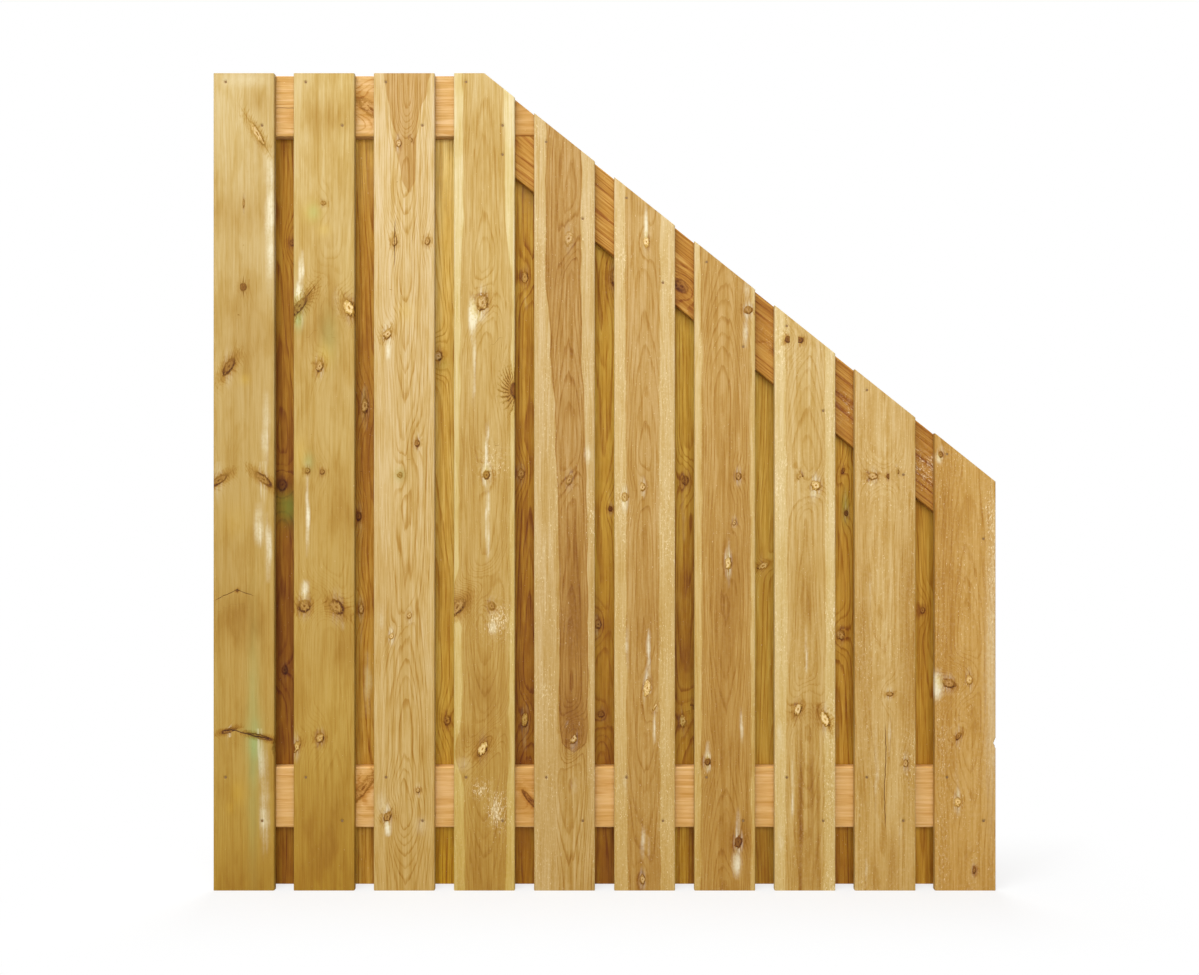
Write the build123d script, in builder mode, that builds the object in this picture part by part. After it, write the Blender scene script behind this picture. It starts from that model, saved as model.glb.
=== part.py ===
from build123d import *
import math
import os

# Fence panel with a sloping top: two staggered rows of upright boards nailed to three rails.
# Millimetres. X runs along the panel with the tall side at -X, the front faces -Y and Z is up.
# The origin is on the ground, at the middle of the panel's length and thickness.

# Overall size
panel_width = 1800.0
tall_height = 1880.0
low_height = 940.0

# Upright boards. The back row has one board fewer and covers the gaps of the front row.
front_board_count = 10
board_width = 140.0
board_thickness = 18.0

# Front board, counted from the tall side, at whose middle the level top turns into the slope
turn_board = 4

# Rails, held between the two rows of boards
rail_width = 140.0
rail_thickness = 28.0
bottom_rail_lift = 140.0

# Rounding of the planed long edges
board_edge_radius = 3.0
rail_edge_radius = 3.0

# Nails, with heads of few sides because there are many of them
nail_shank = 2.6
nail_head = 6.0
nail_head_sides = 6
nail_head_thickness = 1.2
nail_sink = 0.8
nail_tip_cover = 6.0

# Places of the nails: from a board's edge, from a rail's edge and from the joint between rails
nail_side_inset = 28.0
nail_end_inset = 20.0
nail_joint_gap = 18.0

# Clearance round each nail and beyond its tip
nail_clearance = 0.05
nail_tip_clearance = 0.3

# Rows of boards
half_width = panel_width / 2
half_board = board_width / 2
board_pitch = (panel_width - board_width) / (front_board_count - 1)
front_centres = [half_board - half_width + board_pitch * i for i in range(front_board_count)]
back_centres = [x + board_pitch / 2 for x in front_centres[:-1]]

# Distances from the middle plane to the faces of rails and boards
rail_face = rail_thickness / 2
board_face = rail_face + board_thickness

# The top edge: level as far as the turn, then falling to the low side
turn_x = front_centres[turn_board - 1]
slope = (tall_height - low_height) / (half_width - turn_x)
steepness = math.hypot(1.0, slope)
slope_direction = (1.0, 0.0, -slope)

# The joint where the sloping rail is sawn level to fit under the top rail
joint_height = tall_height - rail_width
joint_outer_x = turn_x + rail_width / slope
joint_inner_x = joint_outer_x - rail_width * steepness / slope
bottom_rail_top = bottom_rail_lift + rail_width

# Nail sizes that follow from the thickness of the wood
nail_spread = half_board - nail_side_inset
nail_in_rail = rail_thickness - nail_tip_cover
nail_length = board_thickness - nail_sink + nail_in_rail

# The two sides of the panel, as signs along the normal of the XZ plane, which points to the front
front = 1
back = -1


def top_line(x):
    """Height of the panel's top edge at x."""
    return tall_height - slope * max(x - turn_x, 0.0)


def line_below_top(x, inset):
    """Height at x of a nail set at a distance inside the top edge, clear of the joint between rails."""
    if x <= turn_x:
        return tall_height - inset
    height = top_line(x) - inset * steepness
    if abs(height - joint_height) < nail_joint_gap:
        return joint_height - nail_joint_gap
    return height


def board_nails(x):
    """Places (x, z) of the nails in the board centred on x: a diagonal pair at each rail it crosses."""
    left = x - nail_spread
    right = x + nail_spread
    places = [
        (left, line_below_top(left, nail_end_inset)),
        (right, line_below_top(right, rail_width - nail_end_inset)),
        (left, bottom_rail_top - nail_end_inset),
        (right, bottom_rail_lift + nail_end_inset),
    ]
    # The board at the turn crosses the top rail and the sloping rail, and has one nail more
    if left < turn_x < right:
        places.append((right, joint_height + nail_end_inset))
    return places


front_nail_places = [place for x in front_centres for place in board_nails(x)]
back_nail_places = [place for x in back_centres for place in board_nails(x)]


def board_outline(x):
    """Corners (x, z) of the board centred on x, with its top sawn along the panel's top edge."""
    left = x - half_board
    right = x + half_board
    corners = [(left, 0.0), (right, 0.0), (right, top_line(right))]
    if left < turn_x < right:
        corners.append((turn_x, tall_height))
    corners.append((left, top_line(left)))
    return corners


def upright_board(x, side):
    """Board centred on x in the front or back row, with a sunk square hole for each nail."""
    face = Plane.XZ.offset(side * board_face)
    places = board_nails(x)
    with BuildPart() as board:
        with BuildSketch(face):
            with BuildLine():
                Polyline(board_outline(x), close=True)
            make_face()
        extrude(amount=-side * board_thickness)
        fillet(board.edges().filter_by(Axis.Z), board_edge_radius)
        with BuildSketch(face):
            with Locations(*places):
                RegularPolygon(nail_head / 2 + nail_clearance, nail_head_sides)
        extrude(amount=-side * (nail_sink + nail_head_thickness), mode=Mode.SUBTRACT)
        with BuildSketch(face):
            with Locations(*places):
                Rectangle(nail_shank + 2 * nail_clearance, nail_shank + 2 * nail_clearance)
        extrude(amount=-side * board_thickness, mode=Mode.SUBTRACT)
    return board


def rail(corners, direction, lowest, highest):
    """Rail of the given outline, rounded along its length, with the nail holes that lie in its heights."""
    with BuildPart() as piece:
        with BuildSketch(Plane.XZ):
            with BuildLine():
                Polyline(corners, close=True)
            make_face()
        extrude(amount=rail_face, both=True)
        long_edges = piece.edges().filter_by(Axis((0.0, 0.0, 0.0), direction))
        fillet(long_edges, rail_edge_radius)
        for side, places in ((front, front_nail_places), (back, back_nail_places)):
            with BuildSketch(Plane.XZ.offset(side * rail_face)):
                with Locations(*[place for place in places if lowest < place[1] < highest]):
                    Rectangle(nail_shank + 2 * nail_clearance, nail_shank + 2 * nail_clearance)
            extrude(amount=-side * (nail_in_rail + nail_tip_clearance), mode=Mode.SUBTRACT)
    return piece


def nail_group(places, side):
    """All nails of one side: flat heads just below the board's face on square shanks."""
    head_top = Plane.XZ.offset(side * (board_face - nail_sink))
    with BuildPart() as nails:
        with BuildSketch(head_top):
            with Locations(*places):
                RegularPolygon(nail_head / 2, nail_head_sides)
        extrude(amount=-side * nail_head_thickness)
        with BuildSketch(head_top):
            with Locations(*places):
                Rectangle(nail_shank, nail_shank)
        extrude(amount=-side * nail_length)
    return nails


def save(piece, name):
    """Label a finished piece and write it to its own file."""
    piece.part.label = name
    export_step(piece.part, f"parts/{name}.step")


os.makedirs("parts", exist_ok=True)

# Upright boards
for number, x in enumerate(front_centres, start=1):
    save(upright_board(x, front), f"front_board_{number}")
for number, x in enumerate(back_centres, start=1):
    save(upright_board(x, back), f"back_board_{number}")

# Bottom rail, as long as the panel
bottom_corners = [
    (-half_width, bottom_rail_lift),
    (half_width, bottom_rail_lift),
    (half_width, bottom_rail_top),
    (-half_width, bottom_rail_top),
]
bottom_rail = rail(bottom_corners, (1.0, 0.0, 0.0), bottom_rail_lift, bottom_rail_top)
save(bottom_rail, "bottom_rail")

# Top rail, its low end sawn along the slope
top_corners = [
    (-half_width, joint_height),
    (joint_outer_x, joint_height),
    (turn_x, tall_height),
    (-half_width, tall_height),
]
top_rail = rail(top_corners, (1.0, 0.0, 0.0), joint_height, tall_height)
save(top_rail, "top_rail")

# Sloping rail, sawn level under the top rail and upright at the low side
sloping_corners = [
    (joint_inner_x, joint_height),
    (half_width, low_height - rail_width * steepness),
    (half_width, low_height),
    (joint_outer_x, joint_height),
]
sloping_rail = rail(sloping_corners, slope_direction, bottom_rail_top, joint_height)
save(sloping_rail, "sloping_rail")

# Nails of each side
save(nail_group(front_nail_places, front), "front_nails")
save(nail_group(back_nail_places, back), "back_nails")
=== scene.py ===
import math
from functools import partial
from typing import NamedTuple

import bpy
import numpy as np
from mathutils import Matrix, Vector


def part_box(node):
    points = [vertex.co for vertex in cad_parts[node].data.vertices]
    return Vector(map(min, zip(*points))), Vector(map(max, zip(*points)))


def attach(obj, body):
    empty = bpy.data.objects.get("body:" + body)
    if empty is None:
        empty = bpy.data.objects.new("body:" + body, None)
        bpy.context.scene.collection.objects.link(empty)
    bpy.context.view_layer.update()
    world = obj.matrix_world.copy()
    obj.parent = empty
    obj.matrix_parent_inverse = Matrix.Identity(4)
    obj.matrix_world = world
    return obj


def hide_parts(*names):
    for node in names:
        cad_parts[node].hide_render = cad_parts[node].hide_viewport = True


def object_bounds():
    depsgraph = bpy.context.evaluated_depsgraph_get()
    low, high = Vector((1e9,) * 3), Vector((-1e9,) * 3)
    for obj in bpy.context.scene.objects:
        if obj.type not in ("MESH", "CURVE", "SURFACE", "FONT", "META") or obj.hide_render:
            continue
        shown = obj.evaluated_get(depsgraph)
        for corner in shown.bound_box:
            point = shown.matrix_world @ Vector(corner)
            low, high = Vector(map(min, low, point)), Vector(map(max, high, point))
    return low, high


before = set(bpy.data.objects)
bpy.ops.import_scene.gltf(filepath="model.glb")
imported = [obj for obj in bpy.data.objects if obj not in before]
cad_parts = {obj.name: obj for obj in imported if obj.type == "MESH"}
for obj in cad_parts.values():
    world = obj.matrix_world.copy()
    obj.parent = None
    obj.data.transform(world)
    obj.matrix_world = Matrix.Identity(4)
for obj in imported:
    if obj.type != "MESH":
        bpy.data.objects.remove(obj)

# The tint attribute also carries painted shade and painted light: darker towards the foot, darker on the
# inner faces of the back boards, lighter along the rails' upper edges.
# Fence panel of treated pine. Each board and rail is a mesh that replaces its solid, cut to the same
# outline, with real nail craters, cracks and chips. The growth of the wood is worked out for every
# point of a mesh and kept in attributes; the material turns it into rings, heartwood, knots and stains.
# Wood is described in millimetres: u across a piece, v below its face and w along the grain.

cad_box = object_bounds()
MM = 0.001


class Knot(NamedTuple):
    """Knot with its half sizes, its turn from the grain and the pull it has on the rings beside it.

    Core is how pale it is, edge how dark its rim is, white its resin and tail its dark ends, above 1 a fan.
    """
    u: float
    w: float
    across: float
    along: float
    turn: float = 0.0
    core: float = 0.5
    edge: float = 0.9
    white: float = 0.3
    tail: float = 0.2
    bend: float = 1.0


class Streak(NamedTuple):
    """Pale resin streak along the grain, from one height to another."""
    u: float
    low: float
    high: float
    half: float
    strength: float = 0.6


class Blot(NamedTuple):
    """Soft stain of one kind."""
    kind: str
    u: float
    w: float
    across: float
    along: float
    strength: float = 0.5


STAINS = ("pale", "green", "dark", "yellow", "fleck")
pale, green, dark, yellow, fleck = (partial(Blot, kind) for kind in STAINS)


class Crack(NamedTuple):
    """Open crack through a few points (u, w), either along the grain or across it."""
    points: tuple
    half: float = 0.8
    depth: float = 2.0
    along: bool = True


class Chip(NamedTuple):
    """Piece broken out of a long edge: side -1 or 1, height, half length and depth."""
    side: int
    w: float
    half: float
    depth: float


class Wood(NamedTuple):
    """How one piece grew: pith (w, depth), heartwood and clear lines (w, left, right), tone and marks. Its
    deepen is partly painted shade, and on a back board its light and tint are too.
    """
    pith: tuple
    offset: float = 4.0
    ring: float = 3.4
    figure: float = 0.2
    heart: tuple = ()
    lines: tuple = ()
    depth: float = 1.0
    outline: float = 0.15
    sap_figure: float = 0.35
    light: float = 1.12
    warm: float = 0.0
    tint: tuple = (1.0, 1.0, 1.0)
    deepen: float = 0.0
    clouds: float = 0.4
    specks: float = 0.1
    marks: tuple = ()


def timber(*marks, **growth):
    """Wood with its marks first and how it grew after them."""
    return Wood(marks=marks, **growth)


def marks_of(wood, kind):
    """Marks of one kind on a piece of wood."""
    return [mark for mark in wood.marks if isinstance(mark, kind)]


# Front boards from the tall side, with the marks that each one shows

FRONT_WOOD = [
    timber(
        Knot(31, 1741, 7, 30, -32, 0.7, 0.6, 0.1), Knot(-1, 1388, 8, 10, 0, 0.1, 0.3, 0.1, 0.6),
        Knot(-34, 1206, 9, 23, 32, 0.3, 1, 0.3, 0.1), Knot(-57, 944, 8, 24, 55, 0.35, 0.9, 0.3, 0.1),
        Knot(45, 946, 8, 24, -50, 0.4, 0.9, 0.6, 0.1), Knot(0, 1581, 2, 10, 0, 0.5, 0.8),
        Streak(60, 1350, 1730, 12, 0.9), Streak(51, 960, 1160, 12, 0.65), Streak(36, 780, 900, 13, 0.8),
        Streak(57, 700, 880, 9, 0.75), Streak(48, 60, 300, 14, 0.65), green(22, 330, 13, 230, 0.6),
        green(24, 345, 17, 70, 1), pale(44, 290, 14, 60), yellow(-14, 225, 16, 26, 0.7),
        yellow(-30, 190, 10, 14, 0.6), yellow(3, 1176, 12, 12, 0.7), yellow(-22, 850, 30, 40, 0.35),
        dark(30, 1815, 40, 30, 0.4), dark(-10, 1560, 70, 40, 0.35), dark(0, 1290, 60, 100, 0.3),
        dark(5, 620, 70, 60, 0.6), dark(0, 30, 90, 80, 0.3), pale(0, 1865, 90, 24, 0.35),
        Knot(-15, 690, 3, 3, 0, 0.1, 0.8, 0, 0),
        Crack(((-68, 667), (-45, 678), (-15, 692), (10, 682), (24, 678)), 0.7, 1.2, False),
        Knot(-34, 368, 5, 18, 75, 0.3, 1, 0.5, 0), Knot(36, 354, 5, 30, -76, 0.25, 1, 0.5, 0),
        Crack(((-50, 366), (-30, 370), (0, 362), (30, 354), (64, 348)), 1.1, 2.4, False),
        Chip(1, 328, 20, 4.5),
        pith=((0, 95), (1880, 130)), offset=-95, ring=3, figure=0.06, light=0.84, deepen=0.91, clouds=0.55,
        specks=0.05, tint=(1, 1.01, 0.9),
    ),
    timber(
        Knot(-1, 1581, 6, 5, 0, 0.4, 0.5, 0.2, 0), Knot(-56, 1345, 9, 27, 38, 0.3, 1, 0.5, 1.3),
        Knot(58, 1340, 12, 20, -25, 1), Knot(-10, 1206, 8, 13, 15, 0.6, 0.9, 0.6),
        Knot(-38, 966, 6, 7, 0, 0.4, 0.7, 0.2), Knot(-4, 963, 6, 6, 0, 0.4, 0.7, 0.2),
        Knot(-45, 654, 13, 14, 40, 0.5, 1, 0.4, 0.1), Knot(29, 652, 13, 19, -45, 0.5, 1, 0.3, 0.1),
        Knot(-9, 351, 9, 10, 0, 0.7, 1, 0.2), Knot(-64, 330, 7, 14, 35, 0.8, 0.9, 0.4, 0),
        Streak(-52, 1365, 1480, 7, 1), Streak(-38, 760, 965, 5, 0.9), Streak(-45, 660, 720, 11, 0.9),
        Streak(45, 590, 640, 8, 0.4), Streak(30, 1300, 1420, 14, 0.35), pale(-58, 1375, 11, 26, 0.9),
        green(-56, 1345, 16, 30, 0.6), green(-58, 1316, 10, 24, 0.9), green(-24, 1560, 14, 18),
        green(-36, 985, 12, 20), green(12, 1270, 20, 60, 0.3), yellow(-27, 1560, 20, 22, 0.7),
        yellow(2, 1230, 16, 26, 0.7), yellow(0, 1520, 14, 14), yellow(-55, 1000, 14, 40, 0.6),
        dark(20, 1780, 60, 40, 0.45), dark(0, 1310, 50, 120, 0.45), dark(30, 900, 50, 90, 0.4),
        dark(40, 560, 40, 50, 0.3), dark(0, 100, 90, 150, 0.4), Chip(-1, 326, 10, 3.5),
        pith=((0, 88), (800, 96), (1880, 84)), offset=20, ring=3.3, figure=0.1, light=0.875, deepen=0.93,
        clouds=0.55, specks=0.05, tint=(1, 1.01, 0.86),
    ),
    timber(
        Knot(-12, 1718, 6, 8, 0, 0.7, 0.9, 0.5), Knot(14, 1726, 5, 6, 0, 0.5, 0.7, 0.2),
        Knot(-22, 1494, 6, 12, 0, 0.5, 0.9, 0.3, 0.9), Knot(54, 1494, 6, 9, 10, 0.5, 0.9, 0.4),
        Knot(-38, 1280, 8, 12, 25, 0.7, 0.9, 1, 0.3), Knot(30, 1029, 6, 8, 0, 0.3, 1, 0.6, 0.7),
        Knot(-10, 956, 7, 7, 0, 0.3, 0.3, 0.1, 0), Knot(-29, 585, 5, 7, 20, 0.8, 0.5, 0.9),
        Knot(12, 632, 5, 7, 20, 0.6, 0.7, 0.5), Knot(-38, 170, 8, 11, 30, 0.45, 1, 0.9, 0.3),
        Knot(32, 230, 5, 5, 0, 0.6, 0.9, 0.6), Streak(-38, 120, 165, 8, 1), Streak(-38, 1215, 1265, 6, 0.8),
        Streak(-52, 560, 680, 12, 0.4), green(-10, 956, 12, 12, 0.6), pale(-50, 200, 18, 40, 0.4),
        pale(40, 150, 24, 30, 0.35), yellow(4, 1330, 20, 26, 0.3),
        Crack(((-22, 1435), (-22, 1494), (-20, 1545)), 0.6, 1),
        pith=((0, 62), (200, 40), (330, 52), (640, 66), (980, 58), (1480, 42), (1640, 30), (1880, 10)),
        heart=((1585, 22, -2), (1609, 8, 16), (1634, -4, 24), (1728, -20, 27), (1790, -32, 34),
               (1840, -40, 52), (1900, -48, 66)),
        lines=((0, -40, 60), (560, -44, 50), (900, -16, 66), (1500, -26, 52), (1900, -50, 62)), ring=3.7,
        figure=0.3, sap_figure=0.5, light=1.03, warm=-0.6, deepen=0.66, clouds=0.3, specks=0.2,
        tint=(1, 0.98, 1.05),
    ),
    timber(
        Knot(-4, 1352, 12, 18, 15, 0.6, 0.9, 0.9), Knot(72, 1150, 13, 20, -10, -0.1, 1, 0.1, 2, 2),
        Knot(5, 956, 8, 10, 0, 0.2, 1, 0.9), Knot(-62, 652, 12, 24, 42, 0.5, 1, 0.1, 0, 2.2),
        Knot(17, 655, 8, 10, 0, 0.4, 0.5, 0.3, 0), Knot(-4, 326, 9, 18, 28, 0.9, 1, 0.1, 0, 2.6),
        pale(-27, 1322, 10, 42, 1.1), Streak(-24, 1080, 1400, 5, 0.75), Streak(-14, 1300, 1345, 7, 0.8),
        Streak(7, 740, 950, 5, 1), Streak(6, 900, 1095, 4, 1.2), Streak(5, 930, 985, 11, 1),
        pale(20, 605, 11, 20, 0.6), fleck(32, 620, 34, 44, 1.2), fleck(-8, 232, 24, 24, 1.2),
        fleck(28, 185, 22, 46, 1.4), fleck(20, 985, 40, 40, 0.8), pale(26, 185, 10, 36, 0.4),
        dark(-30, 355, 40, 30, 0.4), pale(-50, 290, 26, 26, 0.35), dark(0, 1690, 50, 120, 0.2),
        dark(0, 450, 46, 80, 0.45), dark(0, 50, 60, 80, 0.3),
        pith=((0, 92), (330, 74), (700, 60), (1100, 52), (1620, 72), (1880, 78)),
        heart=((0, -43, 48), (230, -46, 52), (320, -66, 58), (420, -50, 56), (600, -51, 58),
               (660, -76, 60), (760, -58, 58), (1400, -54, 62), (1550, -48, 47), (1900, -49, 45)),
        ring=3.6, depth=0.85, warm=-1.1, deepen=0.74, specks=0.45,
    ),
    timber(
        Knot(10, 1500, 9, 15, 15, 0.65, 0.2, 0.3, 0.1, 1.2),
        Knot(11, 944, 7, 11, 20, 0.5, 0.4, 0.3, 0.1, 1.2), Knot(20, 350, 8, 12, 10, 0.8, 0.9, 0.6, 0.1, 3),
        Knot(8, 374, 5, 7, 0, 0.7, 0.5, 0.4, 0.1), dark(20, 620, 30, 130, 0.7), dark(20, 390, 34, 80, 1),
        pale(54, 1004, 9, 26, 0.7), pale(22, 240, 10, 30, 0.35), Streak(-10, 700, 760, 4, 0.4),
        dark(0, 1440, 50, 60, 0.3),
        pith=((0, 60), (300, 46), (440, 42), (900, 48), (1400, 64), (1800, 72)),
        heart=((318, 26, 16), (326, 6, 36), (340, -6, 48), (380, -10, 53), (560, -10, 53), (820, -12, 52),
               (1060, -20, 46), (1250, -30, 38), (1420, -42, 36), (1900, -42, 40)),
        lines=((0, -20, 66), (300, -16, 56), (900, -14, 52), (1420, -42, 38), (1900, -42, 40)), offset=12,
        figure=0.36, outline=0.5, light=0.91, deepen=0.47, clouds=0.3, specks=0.75,
    ),
    timber(
        Knot(4, 1492, 7, 12, 0, 0.95, 0.4, 0.4, 0.1), Knot(-46, 905, 8, 10, 0, 0.5, 0.3, 1, 0.1),
        Knot(-5, 928, 6, 9, 0, 0.7, 0.5, 0.6), Knot(6, 466, 7, 20, 8, 1, 0.15, 1, 0),
        Knot(22, 425, 5, 10, 20, 0.8, 0.6, 0.4), Knot(-5, 26, 6, 10, 0, 0.7, 0.9, 0.5, 0.3),
        Streak(4, 1485, 1580, 5, 1.3), Streak(9, 480, 610, 5, 1), Streak(22, 330, 420, 4, 0.9),
        Streak(-46, 860, 910, 9, 0.7), Streak(-4, 60, 160, 6, 0.7), Streak(10, 60, 130, 4, 0.5),
        Streak(-44, 200, 300, 9, 0.4), Streak(-40, 480, 640, 6, 0.5), Streak(56, 960, 1000, 8, 0.4),
        dark(4, 580, 30, 110, 0.3), dark(20, 60, 40, 60, 0.3),
        pith=((0, 74), (480, 58), (900, 62), (1500, 78)),
        heart=((0, -38, 36), (300, -40, 34), (900, -42, 33), (1600, -44, 34)), offset=2, ring=3.3,
        figure=0.25, depth=0.75, light=0.99, warm=-0.2, deepen=0.62, clouds=0.3, specks=0.85,
    ),
    timber(
        Knot(54, 1335, 9, 8, 0, 0.5, 0.8, 1, 0.1), Knot(31, 953, 7, 8, 0, 0.5, 0.8, 0.4),
        Knot(8, 753, 7, 14, 0, 0.85, 0.6, 0.9, 0.3), Knot(-40, 296, 7, 8, 0, 0.05, 1, 0.9, 0.4),
        Knot(31, 112, 8, 12, 12, 0.2, 1, 0.9, 0.3), Knot(22, 846, 4, 6, 20, 0.6, 0.8, 0.4),
        Streak(48, 1240, 1320, 8, 0.7), Streak(50, 1350, 1420, 8), Streak(8, 690, 820, 5, 0.8),
        Streak(-40, 268, 350, 6, 0.9), Streak(28, 20, 100, 12, 0.9), Streak(30, 120, 200, 8),
        Streak(38, 330, 430, 5, 0.7), dark(31, 118, 34, 44, 0.45), dark(0, 640, 24, 210, 0.55),
        pith=((0, 44), (300, 62), (700, 48), (1100, 56), (1480, 78)),
        heart=((0, -54, 60), (1200, -52, 58), (1500, -56, 60)), offset=0, ring=3.5, figure=0.26, depth=0.97,
        light=1.04, warm=-0.4, deepen=0.68, specks=0.6,
    ),
    timber(
        Knot(-39, 1268, 8, 8, 0, 0.05), Knot(-12, 1266, 8, 7, 0, 0.05, 0.9, 0.3, 0.1),
        Knot(-12, 951, 7, 7, 0, 0.5, 0.8, 0.4), Knot(25, 932, 11, 10, 40, 0.85, 0.7, 0.9, 0.1),
        Knot(-16, 417, 8, 14, 22, 0.85, 1, 0.2, 0.1, 1.6),
        Knot(46, 394, 9, 18, -25, 0.95, 0.9, 0.4, 0.1, 1.6), Streak(20, 880, 940, 12),
        dark(15, 405, 50, 40, 0.4), Streak(-58, 300, 420, 8, 0.5), Streak(-56, 60, 180, 8, 0.5),
        Streak(8, 1180, 1240, 5, 0.4), dark(-10, 150, 6, 200, 1.6), dark(14, 220, 5, 160, 1.3),
        dark(4, 640, 26, 130), dark(30, 120, 5, 130, 1), dark(0, 70, 30, 60, 0.6),
        Streak(-30, 130, 330, 3, 0.8), Streak(2, 480, 620, 3, 0.7), Streak(26, 560, 700, 3),
        pith=((0, 70), (420, 52), (950, 62), (1300, 84)),
        heart=((0, -44, 41), (700, -40, 46), (1300, -44, 44)), ring=3.6, depth=0.45, light=1.1, warm=-0.6,
        deepen=0.56, clouds=0.3, specks=1.15, tint=(1, 1.01, 1.05),
    ),
    timber(
        Knot(-29, 953, 11, 8, 0, 0.6, 0.9, 0.5, 0), Knot(8, 953, 6, 6, 0, 0.1, 0.8, 0.3, 0.1),
        Knot(27, 963, 5, 6, 0, 0.3), Knot(10, 452, 8, 5, 0, 0.5, 0.9, 0.5, 0),
        Knot(47, 293, 6, 8, 0, 0.6, 0.8, 0.5), Streak(-20, 120, 420, 5, 0.55), Streak(10, 300, 420, 4),
        Streak(-34, 560, 760, 4, 0.5), Streak(34, 60, 200, 6, 0.4), dark(0, 960, 70, 24, 0.25),
        Streak(-44, 0, 110, 4, 0.5), dark(18, 60, 8, 70, 0.6), dark(-26, 40, 7, 60),
        dark(-56, 560, 24, 330, 0.4), dark(56, 600, 26, 330),
        Crack(((1, 140), (-2, 230), (2, 310), (0, 384)), 0.8, 1.4),
        pith=((0, 96), (1200, 74)), offset=-8, ring=3.8, figure=0.18, light=0.985, deepen=0.54, specks=0.65,
        tint=(1, 0.99, 0.96),
    ),
    timber(
        Knot(-38, 476, 15, 9, 20, 0.55, 0.9, 0.4, 0, 1.8), pale(-66, 472, 15, 32, 1.1),
        Knot(9, 484, 7, 11, 0, 0.8, 0.6, 0.5), Knot(-16, 355, 5, 10, 30, 0.4, 0.9, 0.4),
        Knot(-18, 204, 7, 11, 0, 0.95, 0.5, 0.9), Knot(20, 47, 4, 8, 0, 0.4, 0.9, 0.3, 0.3),
        Knot(-57, 1003, 5, 7, 0, 0.3, 0.9, 0.8), pale(-61, 996, 9, 14, 0.8), Streak(-20, 150, 330, 5, 0.5),
        Streak(60, 560, 900, 6, 0.4), Chip(1, 339, 12, 4.5), dark(-50, 720, 36, 330),
        pale(62, 480, 26, 460, 0.4), fleck(62, 760, 14, 170, 0.7), fleck(-56, 380, 12, 300, 0.4),
        pith=((0, 90), (500, 76), (1000, 92)), offset=10, ring=3.8, light=0.9, warm=1, deepen=0.48,
        specks=0.55, tint=(0.98, 0.96, 0.75),
    ),
]

# Back boards from the tall side. Their marks are what shows through the gaps in front.
# Their light, tint and deepen values and their broad dark marks are partly painted shade of the gaps between
# the front boards.

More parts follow.
